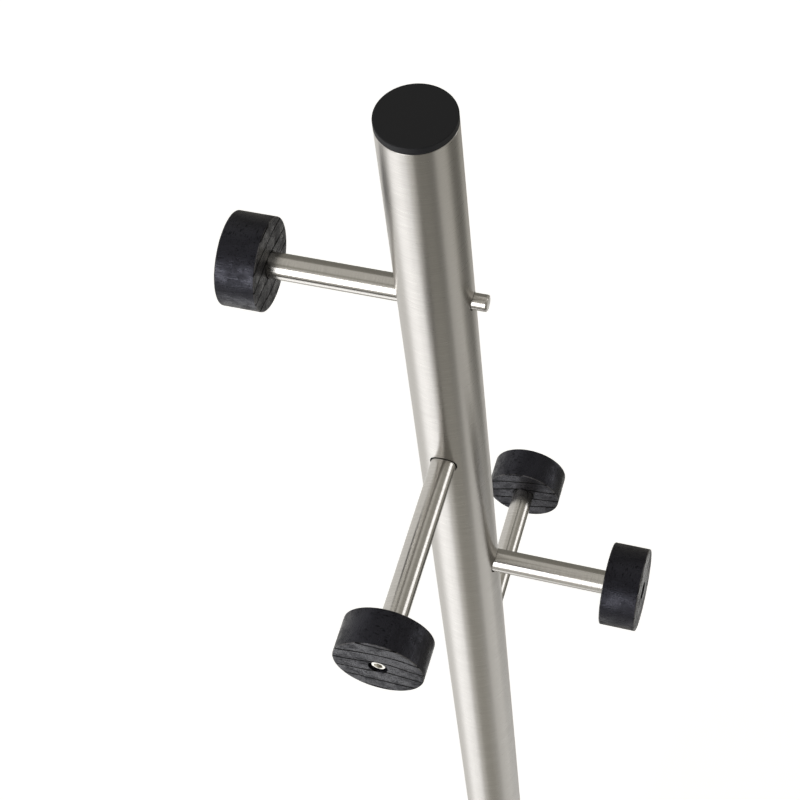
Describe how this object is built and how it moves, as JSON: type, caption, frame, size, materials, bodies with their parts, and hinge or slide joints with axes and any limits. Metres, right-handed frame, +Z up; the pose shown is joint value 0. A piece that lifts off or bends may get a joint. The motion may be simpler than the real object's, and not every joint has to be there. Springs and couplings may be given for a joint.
{
  "type": "standing coat rack",
  "caption": "Tall free-standing coat rack: a brushed steel pole on a round base plate, with steel hook rods in a spiral, each ending in a round black wooden knob.",
  "frame": {"origin": "on the floor, on the pole's axis, at the middle of the plane that the feet rest on", "axes": "+Z up along the pole; the highest hook points to -X, the next to -Y (the front), then +X, and the lowest to +Y (the back)"},
  "size_m": [0.38, 0.38, 1.75],
  "materials": {
    "pole_steel": "stainless steel tube brushed round its circumference",
    "rod_steel": "satin polished stainless steel bar",
    "base_steel": "stainless steel plate, brushed in circles",
    "fastener_steel": "polished stainless steel",
    "lock_steel": "black oxide steel",
    "turned_aluminium": "plain turned",
    "anodised_black": "aluminium, turned and anodised black",
    "black_ash": "ash stained black, open grained, matt lacquer",
    "black_plastic": "matt moulded black",
    "foot_rubber": "matt black"
  },
  "bodies": {
    "root": {"pole_tube": "pole_steel", "top_cap": "black_plastic", "pole_seat_ring": "black_plastic", "pole_foot_plug": "turned_aluminium", "base_plate": "base_steel", "base_screw": "fastener_steel", "base_dowel": "fastener_steel", "hook_1_rod": "rod_steel", "hook_1_knob": "black_ash", "hook_1_screw": "fastener_steel", "hook_1_core": "anodised_black", "hook_1_lock_screw": "lock_steel", "hook_2_rod": "rod_steel", "hook_2_knob": "black_ash", "hook_2_screw": "fastener_steel", "hook_2_core": "anodised_black", "hook_2_lock_screw": "lock_steel", "hook_3_rod": "rod_steel", "hook_3_knob": "black_ash", "hook_3_screw": "fastener_steel", "hook_3_core": "anodised_black", "hook_3_lock_screw": "lock_steel", "hook_4_rod": "rod_steel", "hook_4_knob": "black_ash", "hook_4_screw": "fastener_steel", "hook_4_core": "anodised_black", "hook_4_lock_screw": "lock_steel", "foot_pad_1": "foot_rubber", "foot_pad_2": "foot_rubber", "foot_pad_3": "foot_rubber", "foot_pad_4": "foot_rubber", "foot_pad_5": "foot_rubber", "foot_pad_6": "foot_rubber"}
  },
  "joints": []
}
